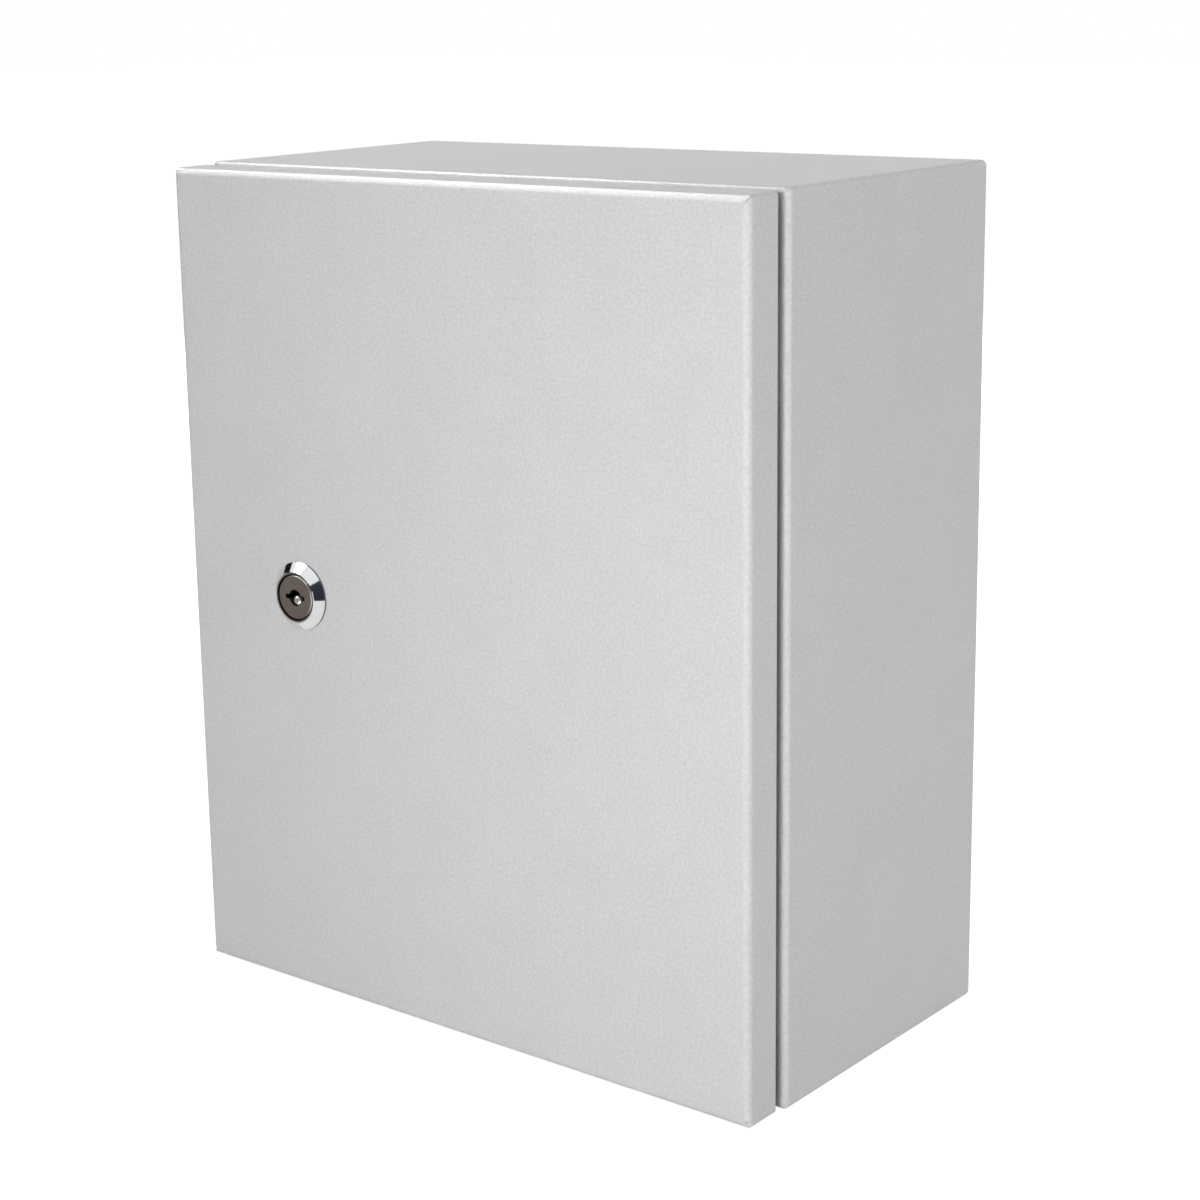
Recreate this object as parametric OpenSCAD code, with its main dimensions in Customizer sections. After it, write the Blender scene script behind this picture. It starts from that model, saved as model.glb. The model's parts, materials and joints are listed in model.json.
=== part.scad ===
// Steel wall enclosure: a folded body, a hinged door with a concealed pin hinge,
// and a quarter-turn cam lock. Millimetres. X to the right, Z up, the wall behind at Y = 0.

/* [Body] */
// Width of the body
body_w = 250; // [200:5:400]
// Height of the body
body_h = 300; // [250:5:500]
// Depth of the body without the door
body_d = 120; // [100:5:200]
// Thickness of the folded steel sheet
sheet_t = 1.2; // [1:0.1:1.3]
// Outer radius of the body's bends
body_bend_r = 2; // [1.8:0.1:3]

/* [Front rim] */
// Distance from the body's side to the clear opening
rim_w = 15; // [15:1:20]
// Height of the raised lip, forward of the body's front face
lip_h = 11.5; // [11:0.1:11.5]
// Corner radius of the clear opening
opening_r = 6; // [5:0.5:10]
// Inner radius of the bend between rim and lip
lip_bend_r = 1; // [0.5:0.1:1.5]

/* [Door] */
// Distance from the body's front face to the door's front face
door_stand = 20; // [20:0.5:21]
// Depth of the door's folded flange
door_flange_d = 15.5; // [15:0.1:15.8]
// How far the door's sides stay inside the body's sides
door_inset_x = 1; // [0.8:0.1:1.5]
// How far the door's top and bottom stay inside the body's
door_inset_z = 0.8; // [0.5:0.1:2]
// Outer radius of the bends round the door's front
door_bend_r = 2.5; // [2:0.1:3.5]
// Radius of the door's ground corner edges
door_corner_r = 1.4; // [1.3:0.1:2]
// Depth of the groove left beside the weld at each door corner
corner_slot_d = 0.7; // [0.4:0.1:0.8]
// Width of the foamed seal
seal_w = 10; // [8:0.5:10]
// Height of the foamed seal
seal_h = 8; // [7:0.5:8]

/* [Hinges] */
// Height of each hinge's middle above and below the body's middle
hinge_z = 100; // [60:5:110]
// Length of a hinge's knuckles together
hinge_len = 36; // [30:1:50]
// Radius of the hinge pin
pin_r = 1.5; // [1.4:0.05:1.6]
// Distance from the door's outer side face to the pin's axis
pin_side = 4; // [4:0.05:4.2]
// Distance from the flange's back edge forward to the pin's axis
pin_forward = 3.8; // [3.6:0.1:3.9]

/* [Lock] */
// Distance from the door's free edge to the lock's axis
lock_edge = 55.5; // [50:0.5:60]
// Height of the lock's axis above the door's middle
lock_z = 0; // [-60:5:60]
// Radius of the lock's flange
lock_flange_r = 12.4; // [11.5:0.1:14]
// How far the lock's flange stands proud of the door
lock_proud = 3.2; // [3.1:0.1:4]
// Radius of the threaded barrel
barrel_r = 10; // [9.5:0.1:10.5]
// Width across the barrel's two flats
barrel_flats = 17.2; // [17:0.1:18]
// Radius of the plug's face
plug_face_r = 8.1; // [8:0.05:8.2]
// Radius of the plug inside the barrel
plug_r = 7; // [6.8:0.05:7.1]
// Reach of the latch cam from the lock's axis
cam_reach = 47; // [46:0.5:49]
// Width of the latch cam
cam_w = 16; // [14:1:18]
// Thickness of the latch cam
cam_t = 2.5; // [2:0.1:2.5]

/* [Wall fixing] */
// Distance of each fixing hole from the body's side
fixing_inset = 20; // [18:1:30]
// Radius of the fixing holes
fixing_hole_r = 4.25; // [3.5:0.25:5]

/* [Mounting plate] */
// Width of the mounting plate
plate_w = 196; // [150:1:196]
// Height of the mounting plate
plate_h = 250; // [200:1:250]
// Thickness of the mounting plate
plate_t = 2; // [1.5:0.5:3]
// Distance of each plate stud from the plate's edge
plate_stud_inset = 13; // [10:1:20]
// Length of the spacers behind the plate
spacer_len = 12; // [8:1:20]

/* [Gland plate] */
// Width of the cut-out in the base
gland_w = 130; // [100:5:150]
// Depth of the cut-out in the base
gland_d = 50; // [40:5:60]
// Overlap of the gland plate round the cut-out
gland_edge = 14; // [12:1:16]
// Thickness of the gland plate
gland_t = 1.5; // [1.2:0.1:2]
// Thickness of the gasket under the gland plate
gland_gasket_t = 2; // [1.5:0.5:3]

/* [Hidden] */
$fn = 64;
eps = 0.01;

paint = "#c9cacb";
zinc = "#b4b8bc";
steel = "#9a9da0";
chrome = "#e2e4e6";
nickel = "#6b645c";
rubber = "#2b2b2c";
foam = "#3d3e40";

// Depths are counted forward from the wall face, so a front-facing piece is drawn flat and stood up.
door_front = body_d + door_stand;
door_back = door_front - door_flange_d;
door_w = body_w - 2 * door_inset_x;
door_h = body_h - 2 * door_inset_z;
opening_w = body_w - 2 * rim_w;
opening_h = body_h - 2 * rim_w;
pan_inside = door_front - sheet_t;
lip_mid_inset = rim_w - sheet_t / 2;
seal_corner_r = opening_r + sheet_t / 2;
seal_lip_gap = 0.3;
corner_slot_r = 3;
corner_slot_half = 0.8;
corner_slot_shift = 1.2;

hinge_x = door_w / 2 - pin_side;
hinge_depth = door_back + pin_forward;
knuckle_r = pin_r + 1;
pin_head_r = pin_r + 0.8;
pin_head_h = 1.4;
pin_chamfer = 0.4;
knuckle_gap = 0.3;
running_gap = 0.05;
held_gap = 0.02;
bracket_t = 1.2;
bracket_foot = 5;
arm_shift = 0.4;
bracket_knuckle = 15.4;
leaf_t = 1.2;
leaf_front = door_front - door_bend_r - 0.3;
leaf_end = 2.2;

lock_x = -door_w / 2 + lock_edge;
lock_flange_t = 0.5;
lock_nut_af = 26;
lock_cut_gap = 0.2;
lock_nut_h = 4;
lock_washer_t = 1;
lock_face_r = 9.3;
ring_chamfer = 0.2;
plug_recess_r = 8.45;
plug_recess_d = 3;
plug_face_t = 2.4;
plug_chamfer = 0.35;
rim_back = body_d - sheet_t;
cam_clear = 2.7;
cam_front = door_front - rim_back + cam_clear;
cam_play = 0.1;
cam_tip_r = 3;
cam_washer_r = 6.5;
cam_screw_head = 3.5;
stop_disc_t = 1.2;
barrel_len = cam_front - stop_disc_t - 0.5;
stop_disc_r = 8.5;
stop_disc_gap = 0.2;
stop_lug_w = 6;
post_end_gap = 0.3;
post_from = 110.5;
post_to = 159.5;
seal_groove_d = 0.4;
seal_groove_edge = 0.4;
drive_w = 8;
keyway_r = 3;
keyway_drop = 0.2;
keyway_len = 9.2;
keyway_h = 1.7;
keyway_d = 9;
plug_face = -lock_proud + 0.2;
cam_thread_from = barrel_len - 7.3;
cam_screw_from = cam_thread_from + 1;
guide_pin_r = 1.6;
guide_pin_drop = 1.3;
guide_pin_sunk = 0.6;
guide_pin_chamfer = 0.5;

fixing_x = body_w / 2 - fixing_inset;
fixing_z = body_h / 2 - fixing_inset;
plate_stud_x = plate_w / 2 - plate_stud_inset;
plate_stud_z = plate_h / 2 - plate_stud_inset;
plate_back = sheet_t + spacer_len;
plate_front = plate_back + plate_t;
m6_r = 3;
m6_nut_af = 10;
m6_nut_h = 5;
m6_washer_r = 6;
m5_r = 2.5;
m5_nut_af = 8;
m5_nut_h = 5;
m5_nut_flange_r = 5.5;
thread_gap = 0.2;
washer_t = 1.2;
toothed_t = 0.8;
tooth_len = 1.2;
weld_flange_t = 0.8;
weld_flange_edge = 1;
stud_chamfer = 0.8;
hole_gap = 0.5;
nut_flange_t = 0.8;
nut_flange_top = 2;
earth_stud_len = 16;
stud_beyond_plate = 12;
stud_beyond_gland = 9;
plate_corner_r = 6;
gland_corner_r = 5;
gland_depth = body_d / 2;
gland_stud_x = gland_w / 2 + gland_edge / 2;
gland_stud_d = gland_d / 2 + gland_edge / 2;
gland_floor = -body_h / 2 + sheet_t;
body_earth_depth = 60;
body_earth_z = -body_h / 2 + 32;
door_earth_x = 80;
door_earth_z = -110;

// Turns a flat drawing upright: x stays, y becomes up, z becomes forward from the wall face.
module upright() {
    rotate([90, 0, 0])
        children();
}

// Places a piece on the lock's axis, with z counted back from the door's front face.
module on_lock_axis() {
    translate([lock_x, -door_front, lock_z])
        rotate([-90, 0, 0])
            children();
}

module mirrored_pair(z) {
    for (s = [-1, 1])
        translate([0, 0, s * z])
            children();
}

module at_corners(x, y) {
    for (sx = [-1, 1])
        for (sy = [-1, 1])
            translate([sx * x, sy * y, 0])
                children();
}

module rounded_rect(w, h, r) {
    square([w - 2 * r, h], center = true);
    square([w, h - 2 * r], center = true);
    at_corners(w / 2 - r, h / 2 - r)
        circle(r);
}

// A quarter of a bent sheet, from the x axis round to the y axis.
module bend(r, t) {
    intersection() {
        difference() {
            circle(r);
            circle(r - t);
        }
        square(r + 1);
    }
}

// Sweeps a profile (x outwards, y forward) round a rectangle, with a revolve at each corner.
module sweep_around(w, h) {
    for (k = [0:3]) {
        run = k % 2 == 0 ? w : h;
        reach = k % 2 == 0 ? h / 2 : w / 2;
        rotate([0, 0, -90 * k])
            translate([0, reach, 0]) {
                translate([-run / 2, 0, 0])
                    rotate([90, 0, 90])
                        linear_extrude(run)
                            children();
                translate([run / 2, 0, 0])
                    rotate_extrude(angle = 90)
                        children();
            }
    }
}

// ---- Fasteners -------------------------------------------------------------------------

// A hexagon with both faces chamfered to a circle, standing on z = 0.
module hex_block(af, h) {
    corner_r = af / 2 / cos(30);
    face_r = af / 2 * 0.97;
    drop = (corner_r - face_r) * tan(30);
    intersection() {
        cylinder(r = corner_r, h = h, $fn = 6);
        rotate_extrude()
            polygon([[0, 0], [face_r, 0], [corner_r, drop], [corner_r, h - drop], [face_r, h], [0, h]]);
    }
}

module hex_nut(af, h, bore_r) {
    difference() {
        hex_block(af, h);
        translate([0, 0, -1])
            cylinder(r = bore_r, h = h + 2);
    }
}

// A hexagon nut with a round flange under it.
module flange_nut(af, h, flange_r, bore_r) {
    difference() {
        union() {
            hex_block(af, h);
            rotate_extrude()
                polygon([[0, 0], [flange_r, 0], [flange_r, nut_flange_t],
                         [af / 2, nut_flange_top], [0, nut_flange_top]]);
        }
        translate([0, 0, -1])
            cylinder(r = bore_r, h = h + 2);
    }
}

module washer(outer_r, inner_r, t) {
    difference() {
        cylinder(r = outer_r, h = t);
        translate([0, 0, -1])
            cylinder(r = inner_r, h = t + 2);
    }
}

// A lock washer with teeth round its outside.
module toothed_washer(outer_r, inner_r, t, teeth) {
    tooth_w = 2 * PI * outer_r / teeth * 0.55;
    difference() {
        union() {
            cylinder(r = outer_r - tooth_len, h = t);
            for (k = [0:teeth - 1])
                rotate([0, 0, k * 360 / teeth])
                    translate([0, -tooth_w / 2, 0])
                        cube([outer_r, tooth_w, t]);
        }
        translate([0, 0, -1])
            cylinder(r = inner_r, h = t + 2);
    }
}

// A plain stud with a chamfered end and a small weld flange on z = 0.
module weld_stud(r, len) {
    rotate_extrude()
        polygon([[0, 0], [r + weld_flange_edge, 0], [r + weld_flange_edge, weld_flange_t],
                 [r, weld_flange_t], [r, len - stud_chamfer], [r - stud_chamfer, len], [0, len]]);
}

// ---- Body ------------------------------------------------------------------------------

module body_wall_profile() {
    r = body_bend_r;
    translate([0, body_d - r])
        bend(r, sheet_t);
    translate([0, r])
        mirror([0, 1])
            bend(r, sheet_t);
    translate([r - sheet_t, r])
        square([sheet_t, body_d - 2 * r]);
}

module lip_profile() {
    foot = opening_r + sheet_t + lip_bend_r;
    rise = sheet_t + lip_bend_r;
    translate([opening_r, rise])
        square([sheet_t, lip_h - lip_bend_r]);
    translate([foot, rise])
        rotate(180)
            bend(sheet_t + lip_bend_r, sheet_t);
    translate([foot, 0])
        square([1, sheet_t]);
}

module front_face_plan() {
    grow = 2 * (sheet_t + lip_bend_r);
    difference() {
        square([body_w - 2 * body_bend_r, body_h - 2 * body_bend_r], center = true);
        rounded_rect(opening_w + grow, opening_h + grow, opening_r + grow / 2);
    }
}

module body_shell() {
    color(paint)
        difference() {
            upright() {
                sweep_around(body_w - 2 * body_bend_r, body_h - 2 * body_bend_r)
                    body_wall_profile();
                linear_extrude(sheet_t)
                    square([body_w - 2 * body_bend_r, body_h - 2 * body_bend_r], center = true);
                translate([0, 0, rim_back])
                    linear_extrude(sheet_t)
                        front_face_plan();
                translate([0, 0, rim_back])
                    sweep_around(opening_w - 2 * opening_r, opening_h - 2 * opening_r)
                        lip_profile();
            }
            upright()
                at_corners(fixing_x, fixing_z)
                    translate([0, 0, -1])
                        cylinder(r = fixing_hole_r, h = sheet_t + 2);
            translate([0, -gland_depth, -body_h / 2 - 1])
                linear_extrude(sheet_t + 2)
                    rounded_rect(gland_w, gland_d, gland_corner_r);
        }
}

// ---- Mounting plate --------------------------------------------------------------------

module plate_studs() {
    color(steel)
        upright()
            at_corners(plate_stud_x, plate_stud_z)
                translate([0, 0, sheet_t])
                    weld_stud(m6_r, spacer_len + plate_t + stud_beyond_plate);
}

module plate_spacers() {
    color(zinc)
        upright()
            at_corners(plate_stud_x, plate_stud_z)
                translate([0, 0, sheet_t])
                    difference() {
                        hex_block(m6_nut_af, spacer_len);
                        translate([0, 0, -1])
                            cylinder(r = m6_r, h = spacer_len + 2);
                        translate([0, 0, -eps])
                            cylinder(r = m6_r + weld_flange_edge, h = weld_flange_t + eps);
                    }
}

module mounting_plate() {
    color(zinc)
        upright()
            translate([0, 0, plate_back])
                linear_extrude(plate_t)
                    difference() {
                        rounded_rect(plate_w, plate_h, plate_corner_r);
                        at_corners(plate_stud_x, plate_stud_z)
                            circle(m6_r + hole_gap);
                    }
}

module plate_washers() {
    color(steel)
        upright()
            at_corners(plate_stud_x, plate_stud_z)
                translate([0, 0, plate_front])
                    washer(m6_washer_r, m6_r + thread_gap, washer_t);
}

module plate_nuts() {
    color(steel)
        upright()
            at_corners(plate_stud_x, plate_stud_z)
                translate([0, 0, plate_front + washer_t])
                    hex_nut(m6_nut_af, m6_nut_h, m6_r);
}

// ---- Gland plate -----------------------------------------------------------------------

module at_gland_studs() {
    for (sx = [-1, 0, 1])
        for (sy = [-1, 1])
            translate([sx * gland_stud_x, sy * gland_stud_d - gland_depth, gland_floor])
                children();
}

module gland_sheet(t, hole_r) {
    linear_extrude(t)
        difference() {
            rounded_rect(gland_w + 2 * gland_edge, gland_d + 2 * gland_edge, plate_corner_r);
            for (sx = [-1, 0, 1])
                for (sy = [-1, 1])
                    translate([sx * gland_stud_x, sy * gland_stud_d])
                        circle(hole_r);
        }
}

module gland_gasket() {
    color(rubber)
        translate([0, -gland_depth, gland_floor])
            difference() {
                gland_sheet(gland_gasket_t, m5_r + weld_flange_edge + thread_gap);
                translate([0, 0, -1])
                    linear_extrude(gland_gasket_t + 2)
                        rounded_rect(gland_w + 2, gland_d + 2, plate_corner_r);
            }
}

module gland_plate() {
    color(paint)
        translate([0, -gland_depth, gland_floor + gland_gasket_t])
            gland_sheet(gland_t, m5_r + hole_gap);
}

module gland_studs() {
    color(steel)
        at_gland_studs()
            weld_stud(m5_r, gland_gasket_t + gland_t + stud_beyond_gland);
}

module gland_nuts() {
    color(steel)
        at_gland_studs()
            translate([0, 0, gland_gasket_t + gland_t])
                flange_nut(m5_nut_af, m5_nut_h, m5_nut_flange_r, m5_r);
}

// ---- Earth studs -----------------------------------------------------------------------

module at_body_earth() {
    translate([body_w / 2 - sheet_t, -body_earth_depth, body_earth_z])
        rotate([0, -90, 0])
            children();
}

module at_door_earth() {
    translate([door_earth_x, -pan_inside, door_earth_z])
        rotate([-90, 0, 0])
            children();
}

module earth_stud() {
    weld_stud(m6_r, earth_stud_len);
}

module earth_washers() {
    translate([0, 0, weld_flange_t])
        washer(m6_washer_r, m6_r + thread_gap, washer_t);
    translate([0, 0, weld_flange_t + washer_t])
        toothed_washer(m6_washer_r - 0.2, m6_r + thread_gap, toothed_t, 10);
}

module earth_nut() {
    translate([0, 0, weld_flange_t + washer_t + toothed_t])
        hex_nut(m6_nut_af, m6_nut_h, m6_r);
}

module body_earth_stud() {
    color(zinc)
        at_body_earth()
            earth_stud();
}

module body_earth_washers() {
    color(zinc)
        at_body_earth()
            earth_washers();
}

module body_earth_nut() {
    color(zinc)
        at_body_earth()
            earth_nut();
}

module door_earth_stud() {
    color(zinc)
        at_door_earth()
            earth_stud();
}

module door_earth_washers() {
    color(zinc)
        at_door_earth()
            earth_washers();
}

module door_earth_nut() {
    color(zinc)
        at_door_earth()
            earth_nut();
}

// ---- Hinges ----------------------------------------------------------------------------
// Plan drawings of the hinge: x to the right, y back towards the wall, pin axis on the origin.

module bracket_plan() {
    lip_face = opening_w / 2 + sheet_t - hinge_x;
    floor_y = hinge_depth - body_d;
    outer_r = bracket_t + lip_bend_r;
    arm_y = -bracket_t / 2 - arm_shift;
    // Foot welded to the rim
    translate([lip_face + outer_r, floor_y - bracket_t])
        square([bracket_foot, bracket_t]);
    translate([lip_face + outer_r, floor_y - outer_r])
        rotate(90)
            bend(outer_r, bracket_t);
    // Upright welded along the lip
    translate([lip_face, arm_y + outer_r])
        square([bracket_t, floor_y - arm_y - 2 * outer_r]);
    translate([lip_face + outer_r, arm_y + outer_r])
        rotate(180)
            bend(outer_r, bracket_t);
    // Arm that reaches the pin, set forward so that the open door's flange clears it
    difference() {
        translate([lip_face + outer_r, arm_y])
            square([-lip_face - outer_r, bracket_t]);
        circle(pin_r + held_gap);
    }
    difference() {
        circle(knuckle_r);
        circle(pin_r + held_gap);
    }
}

module leaf_plate_plan(back_edge) {
    face_x = pin_side - sheet_t;
    translate([face_x - leaf_t, hinge_depth - leaf_front])
        square([leaf_t, leaf_front - back_edge]);
}

module leaf_knuckle_plan() {
    difference() {
        union() {
            circle(pin_side - sheet_t - running_gap);
            leaf_plate_plan(hinge_depth - leaf_end);
        }
        circle(pin_r + running_gap);
    }
}

module at_hinge_axis(z) {
    translate([hinge_x, -hinge_depth, z])
        children();
}

module hinge_bracket(z) {
    color(zinc)
        at_hinge_axis(z)
            linear_extrude(bracket_knuckle, center = true)
                bracket_plan();
}

module hinge_leaf(z) {
    knuckle_len = (hinge_len - bracket_knuckle) / 2 - knuckle_gap;
    notch = bracket_knuckle + 2 * knuckle_gap;
    color(zinc)
        at_hinge_axis(z) {
            mirrored_pair(notch / 2 + knuckle_len / 2)
                linear_extrude(knuckle_len, center = true)
                    leaf_knuckle_plan();
            linear_extrude(notch, center = true)
                leaf_plate_plan(hinge_depth + knuckle_r + 1);
        }
}

module hinge_pin(z) {
    head_z = hinge_len / 2 + knuckle_gap;
    end_z = -head_z - pin_head_h;
    color(steel)
        at_hinge_axis(z)
            rotate_extrude()
                polygon([[0, end_z], [pin_r - pin_chamfer, end_z], [pin_r, end_z + pin_chamfer],
                         [pin_r, head_z], [pin_head_r, head_z],
                         [pin_head_r, head_z + pin_head_h - pin_chamfer],
                         [pin_head_r - pin_chamfer, head_z + pin_head_h], [0, head_z + pin_head_h]]);
}

module hinge_bracket_upper() {
    hinge_bracket(hinge_z);
}

module hinge_bracket_lower() {
    hinge_bracket(-hinge_z);
}

module hinge_pin_upper() {
    hinge_pin(hinge_z);
}

module hinge_pin_lower() {
    hinge_pin(-hinge_z);
}

module hinge_leaf_upper() {
    hinge_leaf(hinge_z);
}

module hinge_leaf_lower() {
    hinge_leaf(-hinge_z);
}

// ---- Door ------------------------------------------------------------------------------

// Section across the door: flat front with a bend at each side.
module pan_section(w, back, front, r) {
    translate([-w / 2, back])
        square([w, front - r - back]);
    translate([-w / 2 + r, back])
        square([w - 2 * r, front - back]);
    for (s = [-1, 1])
        translate([s * (w / 2 - r), front - r])
            circle(r);
}

// The form where both sections meet, with its corner edges ground round.
module pan_form(w, h, back, front, bend_r, corner_r) {
    intersection() {
        translate([0, 0, back])
            linear_extrude(front - back)
                rounded_rect(w, h, corner_r);
        rotate([90, 0, 0])
            linear_extrude(h + 2, center = true)
                pan_section(w, back, front, bend_r);
        rotate([90, 0, 90])
            linear_extrude(w + 2, center = true)
                pan_section(h, back, front, bend_r);
    }
}

module barrel_outline(r, flats) {
    intersection() {
        circle(r);
        square([2 * r + 1, flats], center = true);
    }
}

// Grooves beside the welded corners of the pan: a wheel with a sharp edge cuts them, sunk
// square into the side's bend and lying along the line where the two bends meet.
module corner_slots() {
    mid = door_bend_r * (1 - cos(45));
    out = (corner_slot_r - corner_slot_d) * cos(45);
    for (mx = [0, 1])
        for (my = [0, 1])
            mirror([mx, 0, 0])
                mirror([0, my, 0])
                    translate([door_w / 2 - mid + out, door_h / 2 - mid - corner_slot_shift,
                               door_front - mid + out])
                        rotate([0, acos(-1 / sqrt(6)), atan2(-2, 1)])
                            rotate_extrude()
                                polygon([[0, -corner_slot_half],
                                         [corner_slot_r - corner_slot_half, -corner_slot_half],
                                         [corner_slot_r, 0],
                                         [corner_slot_r - corner_slot_half, corner_slot_half],
                                         [0, corner_slot_half]]);
}

module door_panel() {
    color(paint)
        upright()
            difference() {
                pan_form(door_w, door_h, door_back, door_front, door_bend_r, door_corner_r);
                pan_form(door_w - 2 * sheet_t, door_h - 2 * sheet_t, door_back - 1, pan_inside,
                         door_bend_r - sheet_t, door_corner_r - sheet_t);
                translate([lock_x, lock_z, pan_inside - 1])
                    linear_extrude(sheet_t + 2)
                        barrel_outline(barrel_r + lock_cut_gap, barrel_flats + lock_cut_gap);
                corner_slots();
            }
}

// Foam bead with the groove that the lip has pressed into it.
module seal_profile() {
    crown_r = seal_w / 2;
    imprint_w = sheet_t + 1;
    imprint_d = lip_h + body_d - (pan_inside - seal_h) + seal_lip_gap;
    difference() {
        union() {
            translate([seal_corner_r - crown_r, 0])
                square([seal_w, seal_h - crown_r]);
            translate([seal_corner_r, seal_h - crown_r])
                circle(crown_r);
        }
        translate([seal_corner_r - imprint_w / 2, seal_h - imprint_d])
            square([imprint_w, imprint_d + 1]);
        translate([0, -seal_h])
            square([2 * seal_corner_r, seal_h]);
    }
}

module door_seal() {
    run_w = body_w - 2 * lip_mid_inset - 2 * seal_corner_r;
    run_h = body_h - 2 * lip_mid_inset - 2 * seal_corner_r;
    color(foam)
        upright()
            translate([0, 0, pan_inside])
                mirror([0, 0, 1])
                    sweep_around(run_w, run_h)
                        seal_profile();
}

// ---- Lock ------------------------------------------------------------------------------

// Wedges cut from the barrel's end: the stop disc's lugs turn in them, and two posts are left.
module lug_wedges() {
    reach = 2 * barrel_r;
    middle = (post_from + post_to) / 2 + 90;
    for (turn = [0, 180])
        rotate([0, 0, turn])
            translate([0, 0, barrel_len])
                linear_extrude(stop_disc_t + 1)
                    polygon([[0, 0],
                             [reach * cos(post_to), reach * sin(post_to)],
                             [reach * cos(middle), reach * sin(middle)],
                             [reach * cos(post_from + 180), reach * sin(post_from + 180)]]);
}

module lock_housing() {
    color(chrome)
        on_lock_axis()
            difference() {
                union() {
                    rotate_extrude($fn = 96)
                        polygon([[0, -lock_proud], [lock_face_r - ring_chamfer, -lock_proud],
                                 [lock_face_r, -lock_proud + ring_chamfer],
                                 [lock_flange_r, -lock_flange_t], [lock_flange_r, 0], [0, 0]]);
                    linear_extrude(barrel_len + stop_disc_t + post_end_gap)
                        barrel_outline(barrel_r, barrel_flats);
                }
                translate([0, 0, -lock_proud - 1])
                    cylinder(r = plug_recess_r, h = plug_recess_d + 1);
                translate([0, 0, -lock_proud])
                    cylinder(r = plug_r + running_gap, h = barrel_len + lock_proud + 5);
                translate([0, 0, barrel_len])
                    cylinder(r = stop_disc_r + stop_disc_gap, h = stop_disc_t + 1);
                lug_wedges();
                translate([0, 0, -seal_groove_d])
                    washer(lock_flange_r - seal_groove_edge, barrel_r + seal_groove_edge, seal_groove_d);
            }
}

module lock_seal() {
    color(rubber)
        on_lock_axis()
            translate([0, 0, -seal_groove_d])
                washer(lock_flange_r - seal_groove_edge - 0.1, barrel_r + seal_groove_edge + 0.1,
                   seal_groove_d);
}

module lock_washer() {
    color(zinc)
        on_lock_axis()
            translate([0, 0, sheet_t])
                toothed_washer(lock_nut_af / 2, barrel_r + 2 * running_gap, lock_washer_t, 16);
}

module lock_nut() {
    color(zinc)
        on_lock_axis()
            translate([0, 0, sheet_t + lock_washer_t])
                hex_nut(lock_nut_af, lock_nut_h, barrel_r + running_gap);
}

module keyway() {
    translate([0, keyway_drop, 0])
        cylinder(r = keyway_r, h = keyway_d + 1);
    translate([-keyway_len / 2, -keyway_h / 2, 0])
        cube([keyway_len, keyway_h, keyway_d + 1]);
}

module lock_plug() {
    color(nickel)
        on_lock_axis()
            difference() {
                union() {
                    rotate_extrude($fn = 96)
                        polygon([[0, plug_face], [plug_face_r - plug_chamfer, plug_face],
                                 [plug_face_r, plug_face + plug_chamfer],
                                 [plug_face_r, plug_face + plug_face_t],
                                 [plug_r, plug_face + plug_face_t],
                                 [plug_r, barrel_len], [0, barrel_len]]);
                    translate([-drive_w / 2, -drive_w / 2, barrel_len])
                        cube([drive_w, drive_w, cam_front + cam_t - cam_play - barrel_len]);
                }
                translate([0, 0, plug_face - 1])
                    keyway();
                translate([0, 0, cam_thread_from])
                    cylinder(r = m5_r, h = barrel_len);
            }
}

module guide_pin() {
    top = plug_face + guide_pin_sunk;
    color(chrome)
        on_lock_axis()
            translate([0, guide_pin_drop, 0])
                rotate_extrude()
                    polygon([[0, top], [guide_pin_r - guide_pin_chamfer, top],
                             [guide_pin_r, top + guide_pin_chamfer],
                             [guide_pin_r, plug_face + keyway_d], [0, plug_face + keyway_d]]);
}

// Limits the turn to a quarter: its two lugs stop against the posts on the barrel's end.
module stop_disc() {
    color(zinc)
        on_lock_axis()
            translate([0, 0, cam_front - stop_disc_t - cam_play])
                difference() {
                    union() {
                        cylinder(r = stop_disc_r, h = stop_disc_t);
                        translate([-barrel_r, -stop_lug_w / 2, 0])
                            cube([2 * barrel_r, stop_lug_w, stop_disc_t]);
                    }
                    translate([-drive_w / 2, -drive_w / 2, -1])
                        cube([drive_w, drive_w, stop_disc_t + 2]);
                }
}

module latch_cam() {
    color(zinc)
        on_lock_axis()
            translate([0, 0, cam_front])
                linear_extrude(cam_t)
                    difference() {
                        union() {
                            circle(barrel_r);
                            translate([-cam_w / 2, 0])
                                square([cam_w, cam_reach - cam_tip_r]);
                            translate([-cam_w / 2 + cam_tip_r, 0])
                                square([cam_w - 2 * cam_tip_r, cam_reach]);
                            for (s = [-1, 1])
                                translate([s * (cam_w / 2 - cam_tip_r), cam_reach - cam_tip_r])
                                    circle(cam_tip_r);
                        }
                        square(drive_w, center = true);
                    }
}

module cam_washer() {
    color(zinc)
        on_lock_axis()
            translate([0, 0, cam_front + cam_t])
                washer(cam_washer_r, m5_r, washer_t);
}

module cam_screw() {
    head = cam_front + cam_t + washer_t;
    color(steel)
        on_lock_axis() {
            translate([0, 0, head])
                hex_block(m5_nut_af, cam_screw_head);
            translate([0, 0, cam_screw_from])
                cylinder(r = m5_r, h = head - cam_screw_from + eps);
        }
}

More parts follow.
